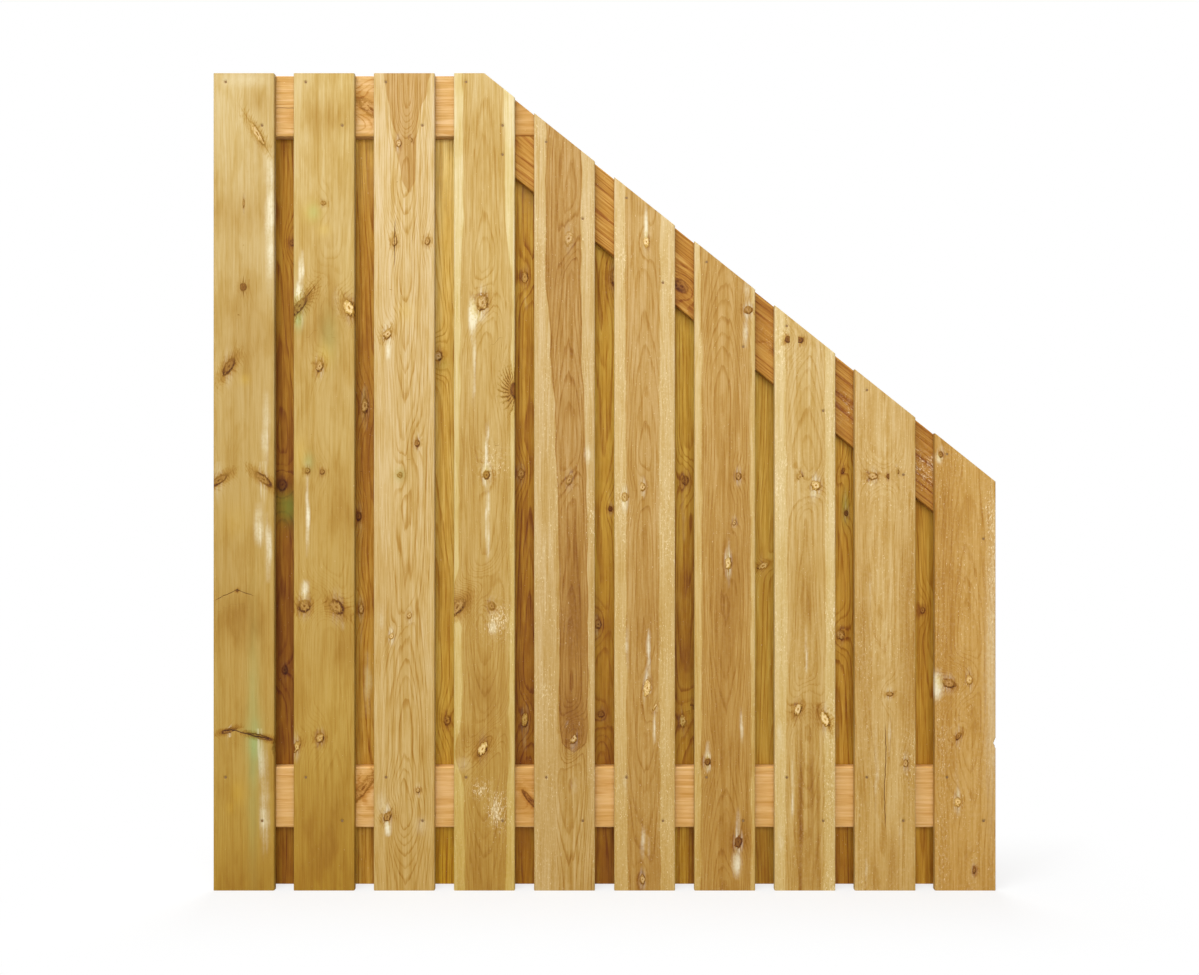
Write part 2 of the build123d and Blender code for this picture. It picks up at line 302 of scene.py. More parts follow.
BACK_WOOD = [
    timber(
        Knot(-16, 933, 11, 13, 0, 0.1, 0.8, 0.1), Knot(8, 1500, 7, 8, 0, 0.3, 0.8, 0.2, 0.3),
        Knot(-10, 500, 7, 10, 0, 0.1, 0.8, 0.2, 0.3), green(-4, 885, 30, 40, 1),
        dark(0, 680, 90, 480, 0.85),
        pith=((0, 60), (1880, 90)), offset=-20, figure=0.45, light=0.77, deepen=0.66, clouds=0.8, specks=0,
        tint=(1.02, 0.93, 0.45),
    ),
    timber(
        Knot(-7, 1118, 8, 17, 0, 0.6, 0.9, 1, 0.8), Knot(-22, 860, 7, 11, 0, 0.2, 0.9, 0.5, 0.3),
        Knot(-16, 643, 6, 11, 0, 0.6, 0.8, 0.8, 0.6), Streak(-7, 1050, 1190, 6, 0.9),
        Streak(-18, 760, 940, 4), Streak(-15, 540, 700, 4, 0.7), Streak(0, 380, 560, 10, 0.9),
        Streak(20, 340, 460, 7, 0.7), dark(0, 1110, 90, 330, 0.8), pale(0, 1680, 60, 150, 0.3),
        pith=((0, 84), (1880, 60)), offset=20, figure=0.4, light=1.02, deepen=0.2, clouds=0.7,
        tint=(1, 1.02, 0.9),
    ),
    timber(
        Knot(-20, 1235, 10, 11, 0, 0.7, 0.9, 0.6, 0.3), Knot(0, 383, 8, 12, 0, 0.4, 0.8, 0.2, 0.3),
        green(-10, 1215, 14, 16, 0.3), pale(-10, 1660, 60, 170, 0.4),
        pith=((0, 70), (1880, 96)), offset=-30, figure=0.35, light=1.35, deepen=1, clouds=0.7,
        tint=(1.03, 1.36, 2.8),
    ),
    timber(
        Knot(-2, 1419, 8, 12, 0, 0.6, 0.9, 0.7, 0.3), Knot(-11, 959, 8, 11, 0, 0.6, 0.7, 0.9, 0.3),
        Knot(-2, 383, 8, 16, 0, 0.8, 0.9, 0.7, 0.4), Streak(0, 1330, 1400, 4), Streak(-2, 300, 370, 5),
        dark(0, 420, 90, 420, 0.75), pale(0, 1640, 60, 150, 0.3),
        pith=((0, 46), (1800, 66)), offset=10, figure=0.5, light=1.02, deepen=0.8, clouds=0.7,
        tint=(1, 1.04, 0.72),
    ),
    timber(
        Knot(24, 1420, 11, 19, 0, 0.5, 0.9, 0.6), Knot(13, 877, 5, 6, 0, 0, 1, 0.6),
        Knot(-15, 607, 8, 10, 0, 0.5, 0.9, 0.7), Knot(-8, 397, 8, 8, 0, 0.3, 0.8),
        Streak(12, 880, 930, 4, 0.7), Streak(-15, 560, 620, 5), dark(0, 600, 50, 60, 0.4),
        dark(0, 140, 90, 330, 1.15), dark(0, 1400, 90, 80),
        pith=((0, 38), (700, 62), (1700, 44)), offset=-6, figure=0.36, light=1.1, deepen=0.74, clouds=0.7,
        tint=(1.02, 1.15, 1),
    ),
    timber(
        Knot(4, 944, 8, 11, 0, 0.3, 0.9, 0.6, 0.3), Knot(-1, 381, 8, 14, 0, 0.8, 0.8, 0.6, 0.3),
        Knot(20, 413, 6, 8, 0, 0.1, 0.8, 0.2, 0.3), Streak(0, 780, 935, 5), dark(0, 540, 90, 260, 0.9),
        pith=((0, 66), (1560, 50)), offset=14, figure=0.45, light=1.09, deepen=0.7, clouds=0.6,
        tint=(1.02, 1.2, 1.15),
    ),
    timber(
        Knot(1, 744, 6, 14, 65, 0.8, 0.8, 0.4, 0), Crack(((-20, 420), (-22, 560), (-21, 720)), 0.5, 1),
        dark(0, 60, 90, 140, 0.6),
        pith=((0, 90), (1420, 110)), offset=40, figure=0.3, light=1.07, deepen=0.54, clouds=0.6,
        specks=0.05, tint=(1.01, 1.18, 1.3),
    ),
    timber(
        Knot(4, 966, 4, 8, 20, 0.2, 0.8, 0.2, 0.3), Knot(12, 867, 5, 7, 0, 0, 1, 0.8),
        Knot(-2, 583, 10, 11, 0, 0.6, 0.9, 0.5, 0), green(10, 880, 9, 40, 0.8),
        Streak(11, 850, 930, 4, 0.7), Streak(-8, 300, 400, 6, 0.4), dark(0, 60, 90, 140, 0.6),
        pith=((0, 60), (1270, 74)), offset=-12, figure=0.45, deepen=0.6, clouds=0.6, tint=(1, 1.07, 0.95),
    ),
    timber(
        Knot(6, 640, 6, 8, 0, 0.4, 0.8, 0.2, 0.3), Knot(-24, 930, 5, 12, 0, 0.1, 0.8, 0.2, 0.3),
        pith=((0, 100), (1120, 84)), offset=24, figure=0.35, light=1.13, deepen=0.58, clouds=0.6,
        specks=0.05, tint=(1, 1.07, 0.95),
    ),
]

# Rails, with w along the rail from the tall side and u downwards

RAIL_WOOD = {
    # On the top rail, the thin dark mark at u 70 near w -185 is painted shade along its lower edge, where it
    # meets the sloping rail.
    "top_rail": timber(
        Knot(6, -540, 15, 40, 38, 0.45, 0.3, 0.1, 0), dark(0, -540, 60, 60, 0.15), dark(0, -190, 90, 60),
        dark(70, -185, 4, 60, 2.2), Crack(((5, -790), (4, -740), (6, -690)), 0.6, 0.8),
        pith=((-900, 94), (0, 80)), offset=24, ring=6.5, figure=0.22, light=0.915, warm=0.2, specks=0.05,
        tint=(1, 1.01, 1.12),
    ),
    "bottom_rail": timber(
        Knot(-22, -558, 11, 54, -52, 0.34, 0.5, 0.1, 0), Knot(6, -172, 6, 28, 50, 0.2, 0.7, 0.1, 0),
        dark(0, -180, 60, 50),
        pith=((-900, 92), (0, 108), (900, 90)), offset=-22, ring=6.5, figure=0.12, light=0.92, warm=0.6,
        specks=0.05,
    ),
    "sloping_rail": timber(
        Knot(26, 660, 13, 19, 0, 0.3, 0.6, 0.1, 0, 2), Knot(10, 930, 6, 10, 0, 0.1, 0.8, 0.2, 0.3),
        dark(0, 1220, 90, 300), fleck(0, 1386, 40, 70, 1.1), fleck(0, 1150, 40, 60),
        fleck(-20, 930, 30, 50, 0.6), dark(0, 835, 90, 60), pale(0, 350, 60, 60, 0.3),
        pith=((-100, 62), (700, 70), (1500, 60)), offset=6, ring=4.6, figure=0.6, light=1, clouds=0.5,
        tint=(0.73, 0.61, 0.3),
    ),
}


# Sizes of the panel, read from the frame

def box_mm(node):
    """Lowest and highest corner of a node in millimetres."""
    low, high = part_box(node)
    return np.array(low) / MM, np.array(high) / MM


FRONT_NODES = [f"front_board_{i + 1}" for i in range(len(FRONT_WOOD))]
BACK_NODES = [f"back_board_{i + 1}" for i in range(len(BACK_WOOD))]
panel_high = np.array(cad_box[1]) / MM
tall_height = panel_high[2]
half_length = panel_high[0]
first_low, first_high = box_mm(FRONT_NODES[4])
last_low, last_high = box_mm(FRONT_NODES[-1])
slope = (first_high[2] - last_high[2]) / (last_low[0] - first_low[0])
turn_x = first_low[0] - (tall_height - first_high[2]) / slope
joint_height = box_mm("top_rail")[0][2]
EDGE_RADIUS = 3.0


def top_line(x):
    """Height of the panel's top edge at x."""
    return tall_height - slope * np.maximum(x - turn_x, 0.0)


# Smooth pseudo-random waves

def wander(x, seed, span):
    """Smooth wave along one axis, about -1 to 1, that changes over about span."""
    draw = np.random.default_rng(seed)
    total = 0.0
    for order in range(1, 5):
        length = span * draw.uniform(0.8, 1.3) / order ** 0.8
        total = total + np.sin(2 * math.pi * (x / length + draw.random())) / order
    return total / 1.6


def drift(u, w, seed, across, along):
    """Smooth blotches over a face, about -1 to 1, of a mean size across and along."""
    draw = np.random.default_rng(seed)
    total = 0.0
    for _ in range(7):
        angle = draw.uniform(0, 2 * math.pi)
        stretch = draw.uniform(0.6, 1.5)
        phase = u / across * math.cos(angle) + w / along * math.sin(angle)
        total = total + np.sin(2 * math.pi * (phase * stretch + draw.random()))
    return total / 3.0


def eased(x, points):
    """Value at x of a curve that eases from each (place, value) to the next."""
    places, values = zip(*points)
    index = np.interp(x, places, range(len(places)))
    step = np.clip(index.astype(int), 0, len(places) - 2)
    part = index - step
    part = part * part * (3 - 2 * part)
    values = np.array(values, float)
    return values[step] + (values[step + 1] - values[step]) * part


# Meshes of boards and rails

COLUMN = 6.5
ROW = 8.5
SLANT_ROWS = 34
SLANT_MARGIN = 12.0
ARC_STEPS = 4
NAIL_LINES = (-6.0, -4.2, -3.3, -2.2, 0.0, 2.2, 3.3, 4.2, 6.0)
CRATER_RADIUS = 3.3
CRATER_RIM = 4.6
CRATER_DEPTH = 1.7
CRACK_LINES = 1.2
CRACK_MARGIN = 3.0
CRACK_WANDER = 0.8
CRACK_FADE = 0.12
CRACK_FLARE = 1.6
CHIP_LINES = 2.0
CHIP_COLUMNS = (4.5, 6.5, 9.0)
CHIP_ZONE = 2.2
END_CLEARANCE = 0.4
LEAST_STEP = 0.35
FACE_TOLERANCE = 0.01
SHARP_ANGLE = 35.0


def spaced(low, high, step, extra):
    """Places from low to high about a step apart, together with the extra places that lie between."""
    even = np.linspace(low, high, max(2, int(round((high - low) / step)) + 1))
    more = [place for place in extra if low + END_CLEARANCE < place < high - END_CLEARANCE]
    places = np.unique(np.round(np.concatenate([even, more]), 2))
    keep = [places[0]]
    for place in places[1:]:
        if place - keep[-1] > LEAST_STEP:
            keep.append(place)
    keep[-1] = high
    return np.array(keep)


class Blank:
    """A board or rail in its own frame, with its ends as functions of u."""

    def __init__(self, origin, along, width, thickness, start, end):
        self.outward = np.array([0.0, -1.0, 0.0])
        self.along = np.array(along, float)
        self.across = np.cross(self.along, self.outward)
        self.origin = np.array(origin, float)
        self.width = width
        self.thickness = thickness
        self.start = start
        self.end = end

    def world(self, u, v, w):
        """Points in metres."""
        out = self.origin + np.outer(u, self.across) + np.outer(w, self.along) - np.outer(v, self.outward)
        return out * MM


def square(place):
    """End of a piece that is sawn square."""
    return lambda u: np.full_like(u, place)


def section(width, thickness, columns):
    """Loop (u, v) round a piece with rounded edges, and the number of its columns and of its side points."""
    inner = thickness - 2 * EDGE_RADIUS
    reach = width / 2 - EDGE_RADIUS
    turns = np.linspace(0, math.pi / 2, ARC_STEPS + 1)[1:-1]
    arc = [(math.sin(t) * EDGE_RADIUS, (1 - math.cos(t)) * EDGE_RADIUS) for t in turns]
    side = [(EDGE_RADIUS, EDGE_RADIUS + inner * part) for part in (0.0, 0.5, 1.0)]
    turned = [(out, thickness - depth) for out, depth in reversed(arc)]
    right = [(reach + out, depth) for out, depth in arc + side + turned]
    left = [(-u, v) for u, v in reversed(right)]
    face = [(u, 0.0) for u in columns]
    rear = [(u, thickness) for u in reversed(columns)]
    return np.array(face + right + rear + left), len(face), len(right)


def cap_faces(ring, columns, right, upward):
    """Faces that close one end of a piece: a strip of quads and the two rounded sides."""
    face = ring[:columns]
    rear = ring[columns + right:2 * columns + right][::-1]
    right_side = ring[columns:columns + right]
    left_side = ring[2 * columns + right:]
    faces = [(face[j], rear[j], rear[j + 1], face[j + 1]) for j in range(columns - 1)]
    faces.append((face[-1], rear[-1], *right_side[::-1]))
    faces.append((rear[0], face[0], *left_side[::-1]))
    return [tuple(reversed(f)) for f in faces] if upward else faces


def rows_of(blank, extra, loop_u):
    """Height of each row at each point of the loop. The rows near a slanting end lean with it."""
    starts = blank.start(loop_u)
    ends = blank.end(loop_u)
    slant_start = np.ptp(starts) > 1
    slant_end = np.ptp(ends) > 1
    low = starts.max() + (SLANT_MARGIN if slant_start else 0.0)
    high = ends.min() - (SLANT_MARGIN if slant_end else 0.0)
    rows = [np.full(len(loop_u), place) for place in spaced(low, high, ROW, extra)]
    if slant_start:
        parts = np.linspace(0, 1, SLANT_ROWS, endpoint=False)
        rows = [starts + (low - starts) * part for part in parts] + rows
    if slant_end:
        parts = np.linspace(0, 1, SLANT_ROWS + 1)[1:]
        rows = rows + [high + (ends - high) * part for part in parts]
    return np.array(rows)


def crack_distance(crack, u, w):
    """Signed distance from a crack and how open it is there."""
    places = [point[1] if crack.along else point[0] for point in crack.points]
    values = [point[0] if crack.along else point[1] for point in crack.points]
    run, side = (w, u) if crack.along else (u, w)
    line = np.interp(run, places, values) + CRACK_WANDER * wander(run, 5, 26.0)
    fade = CRACK_FADE * (places[-1] - places[0])
    window = np.clip(np.minimum(run - places[0], places[-1] - run) / fade, 0, 1)
    return side - line, window


def relief(blank, wood, nails, nails_behind, u, v, w):
    """New u and v of the points of a piece, moved for its nail craters, cracks and chips."""
    near = v < FACE_TOLERANCE
    behind = v > blank.thickness - FACE_TOLERANCE
    u, v = u.copy(), v.copy()
    for nail_u, nail_w in nails:
        reach = np.hypot(u - nail_u, w - nail_w)
        depth = CRATER_DEPTH * np.clip((CRATER_RIM - reach) / (CRATER_RIM - CRATER_RADIUS), 0, 1)
        v = np.where(behind, v - depth, v) if nails_behind else np.where(near, v + depth, v)
    for crack in marks_of(wood, Crack):
        away, window = crack_distance(crack, u, w)
        dip = crack.depth * window * np.exp(-(away / (crack.half * CRACK_FLARE)) ** 2)
        v = np.where(near, v + dip, v)
    for chip in marks_of(wood, Chip):
        zone = CHIP_ZONE * chip.depth
        edge = np.clip((chip.side * u - blank.width / 2 + zone) / zone, 0, 1)
        ragged = 1 + 0.35 * wander(w, 9, 11.0) + 0.3 * wander(v, 4, 17.0)
        bite = np.clip(1 - ((w - chip.w) / chip.half) ** 2, 0, 1) * ragged
        share = np.clip(1.2 - v / blank.thickness, 0.25, 1)
        u = u - chip.side * chip.depth * bite * share * edge
    return u, v


def border(index, around):
    """Points of the grid that have a neighbour with another index."""
    grid = index.reshape(-1, around)
    other = np.zeros(grid.shape, bool)
    padded = np.pad(grid, ((1, 1), (0, 0)), mode="edge")
    for down in (0, 1, 2):
        for turn in (-1, 0, 1):
            other |= np.roll(padded[down:down + len(grid)], turn, axis=1) != grid
    return other.ravel()


BEND_PULL = 1.3
BEND_MARGIN = 4.0
BEND_LENGTH = 24.0


def knot_fields(knots, shift, u, w, radius, around):
    """Rings bent round the knots, and the constants of the nearest knot at each point."""
    nearest = np.full(len(u), 1e9)
    index = np.zeros(len(u), int)
    knot_at = np.tile([1e6, 1e6, 0.0], (len(u), 1))
    knot_size = np.tile([1.0, 1.0, 0.0], (len(u), 1))
    knot_look = np.zeros((len(u), 3))
    for number, knot in enumerate(knots, start=1):
        turn = math.radians(knot.turn)
        du, dw = u - knot.u, w - knot.w
        p = du * math.cos(turn) - dw * math.sin(turn)
        q = du * math.sin(turn) + dw * math.cos(turn)
        reach = np.hypot(p / knot.across, q / knot.along)
        wide = 2.2 * knot.across + BEND_MARGIN
        long = 2.4 * knot.along + BEND_LENGTH
        bent = np.exp(-(p / wide) ** 2 - (dw / long) ** 2)
        radius = radius + knot.bend * BEND_PULL * knot.across * bent
        closer = reach < nearest
        nearest = np.where(closer, reach, nearest)
        index = np.where(closer, number, index)
        knot_at[closer] = (knot.u + shift[0], knot.w + shift[2], turn)
        knot_size[closer] = (knot.across, knot.along, knot.core)
        knot_look[closer] = (knot.edge, knot.white, knot.tail)
    return radius, knot_at, knot_size, knot_look, np.where(border(index, around), 0.0, 1.0)


FAR_OUTSIDE = -60.0
ZONE_WANDER = 1.5
ZONE_SPAN = 160.0
STREAK_WANDER = 1.5


def inside(zone, seed, u, w):
    """Distance inside a zone given as (w, left, right), negative outside it."""
    if not zone:
        return np.full(len(u), FAR_OUTSIDE)
    places, lefts, rights = zip(*zone)
    left = eased(w, zip(places, lefts)) + ZONE_WANDER * wander(w, seed + 61, ZONE_SPAN)
    right = eased(w, zip(places, rights)) + ZONE_WANDER * wander(w, seed + 62, ZONE_SPAN)
    return np.minimum(u - left, right - u)


def stains(wood, seed, u, w):
    """Strength of each kind of stain, with resin streaks as pale."""
    kinds = {kind: np.zeros(len(u)) for kind in STAINS}
    for streak in marks_of(wood, Streak):
        middle = (streak.low + streak.high) / 2
        half = (streak.high - streak.low) / 2
        length = np.clip(1 - np.abs(w - middle) / half, 0, 1)
        line = streak.u + STREAK_WANDER * wander(w, seed + 3, 130.0)
        uneven = 0.85 + 0.18 * wander(w, seed + 4, 90.0)
        spot = streak.strength * uneven * np.sqrt(length) * np.exp(-((u - line) / streak.half) ** 2)
        kinds["pale"] = np.maximum(kinds["pale"], spot)
    for blot in marks_of(wood, Blot):
        away = ((u - blot.u) / blot.across) ** 2 + ((w - blot.w) / blot.along) ** 2
        kinds[blot.kind] = np.maximum(kinds[blot.kind], blot.strength * np.exp(-away))
    return kinds


INNER_PAINTED_SHADE = np.array([0.90, 0.73, 0.32])
FOOT_TONE_AND_SHADE = np.array([0.31, 0.48, 0.95])
WARM_TINT = np.array([0.05, -0.06, -0.16])
OUTER_LIGHT = 0.96
OUTER_EVEN = 0.7
UPPER_EDGE = 3.0
UPPER_PAINTED_LIGHT = 0.45
MOTTLE = (0.04, 0.06, 0.10)
UPRIGHT = 0.9
SEED_SHIFT = np.array([37.0, 11.0, 2300.0])
HEART_SOFTNESS = 3.0
NO_SPLIT = 30.0
OUTER_STAIN_AND_SHADE = 0.3


def inner_share(blank, v):
    """1 on the face of a back board that looks to the front, 0 on its outer face."""
    return np.clip(1.5 - 2 * v / blank.thickness, 0, 1)


def tone(blank, wood, seed, shaded, u, v, w):
    """Tint of the wood: its own lightness; darker towards the foot, partly its tone and partly painted shade;
    and painted shade on the inner face of a back board, where the front boards shade it.
    """
    height = np.clip(w / tall_height, 0, 1) if blank.along[2] > UPRIGHT else np.ones(len(u))
    deep = wood.deepen * (1 - height) ** 0.8
    own = wood.light * np.array(wood.tint) * (1 + wood.warm * WARM_TINT)
    # Darker towards the foot: partly the wood's own tone, partly painted shade of the light from above.
    tint = own * (1 - np.outer(deep, FOOT_TONE_AND_SHADE))
    mottle = wood.clouds * drift(u, w, seed + 20, 150.0, 460.0)
    tint = tint * (1 + np.outer(mottle, MOTTLE))
    # Painted light: the upper edge and top face of a rail are made lighter, as if lit from above.
    if blank.along[2] < UPRIGHT:
        upper = np.clip((UPPER_EDGE - blank.width / 2 - u) / UPPER_EDGE, 0, 1)
        tint = tint * (1 + UPPER_PAINTED_LIGHT * upper[:, None])
    # Painted shade: the inner face of a back board, seen through the gaps, is darkened and warmed; with the
    # board's own light and tint this stands for the shade of the boards in front, mostly evened out on the
    # outer face.
    if shaded:
        inner = inner_share(blank, v)[:, None]
        outer_tone = OUTER_LIGHT * own ** -OUTER_EVEN
        tint = tint * (inner * INNER_PAINTED_SHADE + (1 - inner) * outer_tone)
    return tint


def growth(blank, wood, seed, shaded, u, v, w, around):
    """Attributes of the wood at points (u, v, w)."""
    shift = seed * SEED_SHIFT
    pith_u = wood.offset + 4.0 * wander(w, seed, 1100.0)
    pith_v = eased(w, wood.pith) + 0.8 * wander(w, seed + 50, 500.0)
    radius = np.hypot(u - pith_u, v - pith_v) + 0.9 * drift(u, w, seed + 100, 70.0, 520.0)
    knots = marks_of(wood, Knot)
    radius, knot_at, knot_size, knot_look, own = knot_fields(knots, shift, u, w, radius, around)
    rings = radius / wood.ring + 0.5 * wander(radius, seed + 7, 23.0)
    heart = inside(wood.heart, seed, u, w) / HEART_SOFTNESS
    kinds = stains(wood, seed, u, w)
    # On a back board the dark marks are partly painted shade of the gaps, so they are kept mostly to its
    # inner face.
    if shaded:
        kinds["dark"] = kinds["dark"] * (OUTER_STAIN_AND_SHADE + (1 - OUTER_STAIN_AND_SHADE) * inner_share(blank, v))
    split = np.full(len(u), NO_SPLIT)
    split_open = np.zeros(len(u))
    for crack in marks_of(wood, Crack):
        away, window = crack_distance(crack, u, w)
        nearer = np.abs(away) < np.abs(split)
        split = np.where(nearer, away / crack.half, split)
        split_open = np.where(nearer, window, split_open)
    specks = wood.specks * np.clip(0.62 + 0.25 * drift(u, w, seed + 31, 90.0, 240.0), 0, 1.2)
    clouds = np.full(len(u), wood.clouds)
    figure = np.full(len(u), wood.figure)
    clear = wood.lines or wood.heart
    if clear:
        within = inside(clear, seed, u, w)
        figure = figure * np.clip(0.65 + 0.12 * within, wood.sap_figure, 1.0)
        kinds["dark"] = kinds["dark"] * np.clip(0.6 + 0.2 * within, 0.2, 1.0)
        specks = specks * np.clip(0.7 - 0.1 * within, 0.35, 1.0)
    specks = specks + kinds["fleck"]
    return {
        "grain": np.stack([u, v, w], 1) + shift,
        "rings": np.stack([rings, heart, figure], 1),
        "knot_at": knot_at,
        "knot_size": knot_size,
        "knot_look": knot_look,
        "stain": np.stack([kinds["green"], kinds["dark"], kinds["yellow"]], 1),
        "bloom": np.stack([kinds["pale"], specks, clouds], 1),
        "heartwood": np.tile([wood.depth, wood.outline, 0.0], (len(u), 1)),
        "split": np.stack([split, split_open, own], 1),
        "tint": tone(blank, wood, seed, shaded, u, v, w),
    }


def feature_lines(blank, wood, nails):
    """Extra columns and rows for the mesh, where it has craters, cracks and chips."""
    columns, rows = [], []
    for nail_u, nail_w in nails:
        columns += [nail_u + line for line in NAIL_LINES]
        rows += [nail_w + line for line in NAIL_LINES]
    for crack in marks_of(wood, Crack):
        places = [point[0] if crack.along else point[1] for point in crack.points]
        lines = np.arange(min(places) - CRACK_MARGIN, max(places) + CRACK_MARGIN, CRACK_LINES)
        (columns if crack.along else rows).extend(lines)
    for chip in marks_of(wood, Chip):
        reach = chip.half + CHIP_LINES
        rows.extend(np.arange(chip.w - reach, chip.w + reach, CHIP_LINES))
        columns.extend(chip.side * (blank.width / 2 - step) for step in CHIP_COLUMNS)
    return columns, rows


def add_object(name, data):
    """New object in the scene."""
    added = bpy.data.objects.new(name, data)
    bpy.context.scene.collection.objects.link(added)
    return added


def build_piece(node, blank, wood, seed, material, nails=(), behind=False):
    """Mesh of one board or rail with its attributes, in place of its solid."""
    more_columns, more_rows = feature_lines(blank, wood, nails)
    reach = blank.width / 2 - EDGE_RADIUS
    columns = spaced(-reach, reach, COLUMN, [0.0] + more_columns)
    loop, count, right = section(blank.width, blank.thickness, list(columns))
    rows = rows_of(blank, more_rows, loop[:, 0])
    around = len(loop)
    u = np.tile(loop[:, 0], len(rows))
    v = np.tile(loop[:, 1], len(rows))
    w = rows.ravel()
    fields = growth(blank, wood, seed, behind, u, v, w, around)
    moved_u, moved_v = relief(blank, wood, nails, behind, u, v, w)
    base = np.arange(len(rows) - 1)[:, None] * around
    step = np.arange(around)[None, :]
    following = (step + 1) % around
    quads = np.stack([base + step, base + following, base + around + following, base + around + step], -1)
    last = (len(rows) - 1) * around
    faces = quads.reshape(-1, 4).tolist()
    faces += cap_faces(list(range(around)), count, right, False)
    faces += cap_faces(list(range(last, last + around)), count, right, True)
    mesh = bpy.data.meshes.new(node + "_wood")
    mesh.from_pydata(blank.world(moved_u, moved_v, w).tolist(), [], faces)
    for name, values in fields.items():
        layer = mesh.attributes.new(name, "FLOAT_VECTOR", "POINT")
        layer.data.foreach_set("vector", values.astype(np.float32).ravel())
    mesh.materials.append(material)
    mesh.shade_smooth()
    mesh.set_sharp_from_angle(angle=math.radians(SHARP_ANGLE))
    piece = add_object(node + "_wood", mesh)
    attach(piece, "root")
    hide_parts(node)


# Materials

def srgb(red, green, blue):
    """Linear colour of a screen colour given in steps of 255."""
    return (*(((c / 255 + 0.055) / 1.055) ** 2.4 for c in (red, green, blue)), 1.0)


class Shader:
    """Short ways to add nodes to a material."""

    def __init__(self, name):
        self.material = bpy.data.materials.new(name)
        self.material.use_nodes = True
        self.tree = self.material.node_tree
        self.surface = self.tree.nodes["Principled BSDF"]

    def put(self, socket, value):
        if isinstance(value, bpy.types.NodeSocket):
            self.tree.links.new(value, socket)
        else:
            socket.default_value = value

    def new(self, kind, **inputs):
        node = self.tree.nodes.new("ShaderNode" + kind)
        for name, value in inputs.items():
            self.put(node.inputs[name], value)
        return node

    def look(self, name, value):
        self.put(self.surface.inputs[name], value)

    def math(self, operation, *values, clamp=False):
        node = self.new("Math")
        node.operation = operation
        node.use_clamp = clamp
        for socket, value in zip(node.inputs, values):
            self.put(socket, value)
        return node.outputs[0]

    def times(self, product, *factors):
        for factor in factors:
            product = self.math("MULTIPLY", product, factor)
        return product

    def plus(self, first, second):
        return self.math("ADD", first, second)

    def times_plus(self, value, factor, extra, clamp=False):
        return self.math("MULTIPLY_ADD", value, factor, extra, clamp=clamp)

    def attribute(self, name):
        node = self.new("Attribute")
        node.attribute_name = name
        return node.outputs["Vector"]

    def parts(self, vector):
        return self.new("SeparateXYZ", Vector=vector).outputs

    def noise(self, place, scale, detail, rough):
        scaled = self.new("VectorMath")
        scaled.operation = "MULTIPLY"
        self.put(scaled.inputs[0], place)
        self.put(scaled.inputs[1], scale)
        vector = scaled.outputs[0]
        return self.new("TexNoise", Vector=vector, Scale=1.0, Detail=detail, Roughness=rough).outputs["Fac"]

    def smooth(self, value, low, high, start=0.0, end=1.0):
        node = self.new("MapRange")
        node.interpolation_type = "SMOOTHSTEP"
        for socket, number in zip(node.inputs, (value, low, high, start, end)):
            self.put(socket, number)
        return node.outputs[0]

    def fall(self, value, low, high):
        return self.smooth(value, low, high, 1.0, 0.0)

    def mix(self, share, first, second, blend="MIX"):
        node = self.new("Mix")
        node.data_type = "RGBA"
        node.blend_type = blend
        self.put(node.inputs[0], share)
        self.put(node.inputs[6], first)
        self.put(node.inputs[7], second)
        return node.outputs[2]

    def power(self, colour, exponent):
        return self.new("Gamma", Color=colour, Gamma=exponent).outputs[0]

    def darken(self, share, colour, factor):
        return self.mix(1.0, colour, self.power(factor, share), "MULTIPLY")


FIBRE_SCALE = (0.30, 0.30, 0.011)
STREAK_SCALE = (0.12, 0.12, 0.003)
CLOUD_SCALE = (0.030, 0.030, 0.010)
ROUGH_SCALE = (0.18, 0.18, 0.13)
FLECK_SCALE = (0.46, 0.46, 0.13)
NAIL_SCALE = (400.0, 400.0, 400.0)
FLOOR_SCALE = (3.0, 3.0, 3.0)
FIBRE_SHADE = srgb(223, 202, 142)
STREAK_SHADE = srgb(229, 213, 162)
CLOUD_SHADE = srgb(236, 224, 184)
STAIN_SHADE = srgb(213, 189, 130)
SUN_YELLOW = srgb(226, 196, 104)
FLECK_COLOUR = srgb(230, 214, 174)
HALO_SHADE = srgb(204, 170, 92)
CORE_CREAM = srgb(226, 200, 152)
CORE_SHADE = srgb(172, 136, 56)
RIM_SHADE = srgb(138, 104, 24)
CRACK_SHADE = srgb(122, 90, 46)
FIBRE_DEPTH = 0.0006
FAN_RAYS = 27.0
FAR_AWAY = 60.0


def knot_reach(s, grain, rough):
    """Reach from the nearest knot in its own sizes, place across and along it, core, and an upright reach."""
    u, _, w = s.parts(grain)
    knot_u, knot_w, turn = s.parts(s.attribute("knot_at"))
    across, along, core = s.parts(s.attribute("knot_size"))
    du = s.math("SUBTRACT", u, knot_u)
    dw = s.math("SUBTRACT", w, knot_w)
    cosine = s.math("COSINE", turn)
    sine = s.math("SINE", turn)
    p = s.math("SUBTRACT", s.times(du, cosine), s.times(dw, sine))
    q = s.plus(s.times(du, sine), s.times(dw, cosine))
    p = s.math("DIVIDE", p, across)
    q = s.math("DIVIDE", q, along)
    reach = s.math("SQRT", s.plus(s.times(p, p), s.times(q, q)))
    reach = s.times(reach, s.times_plus(rough, 1.2, 0.4))
    beside = s.math("DIVIDE", du, s.times_plus(across, 0.8, 3.0))
    above = s.math("DIVIDE", dw, s.times_plus(along, 1.6, 8.0))
    drawn = s.math("SQRT", s.plus(s.times(beside, beside), s.times(above, above)))
    return reach, p, q, core, drawn


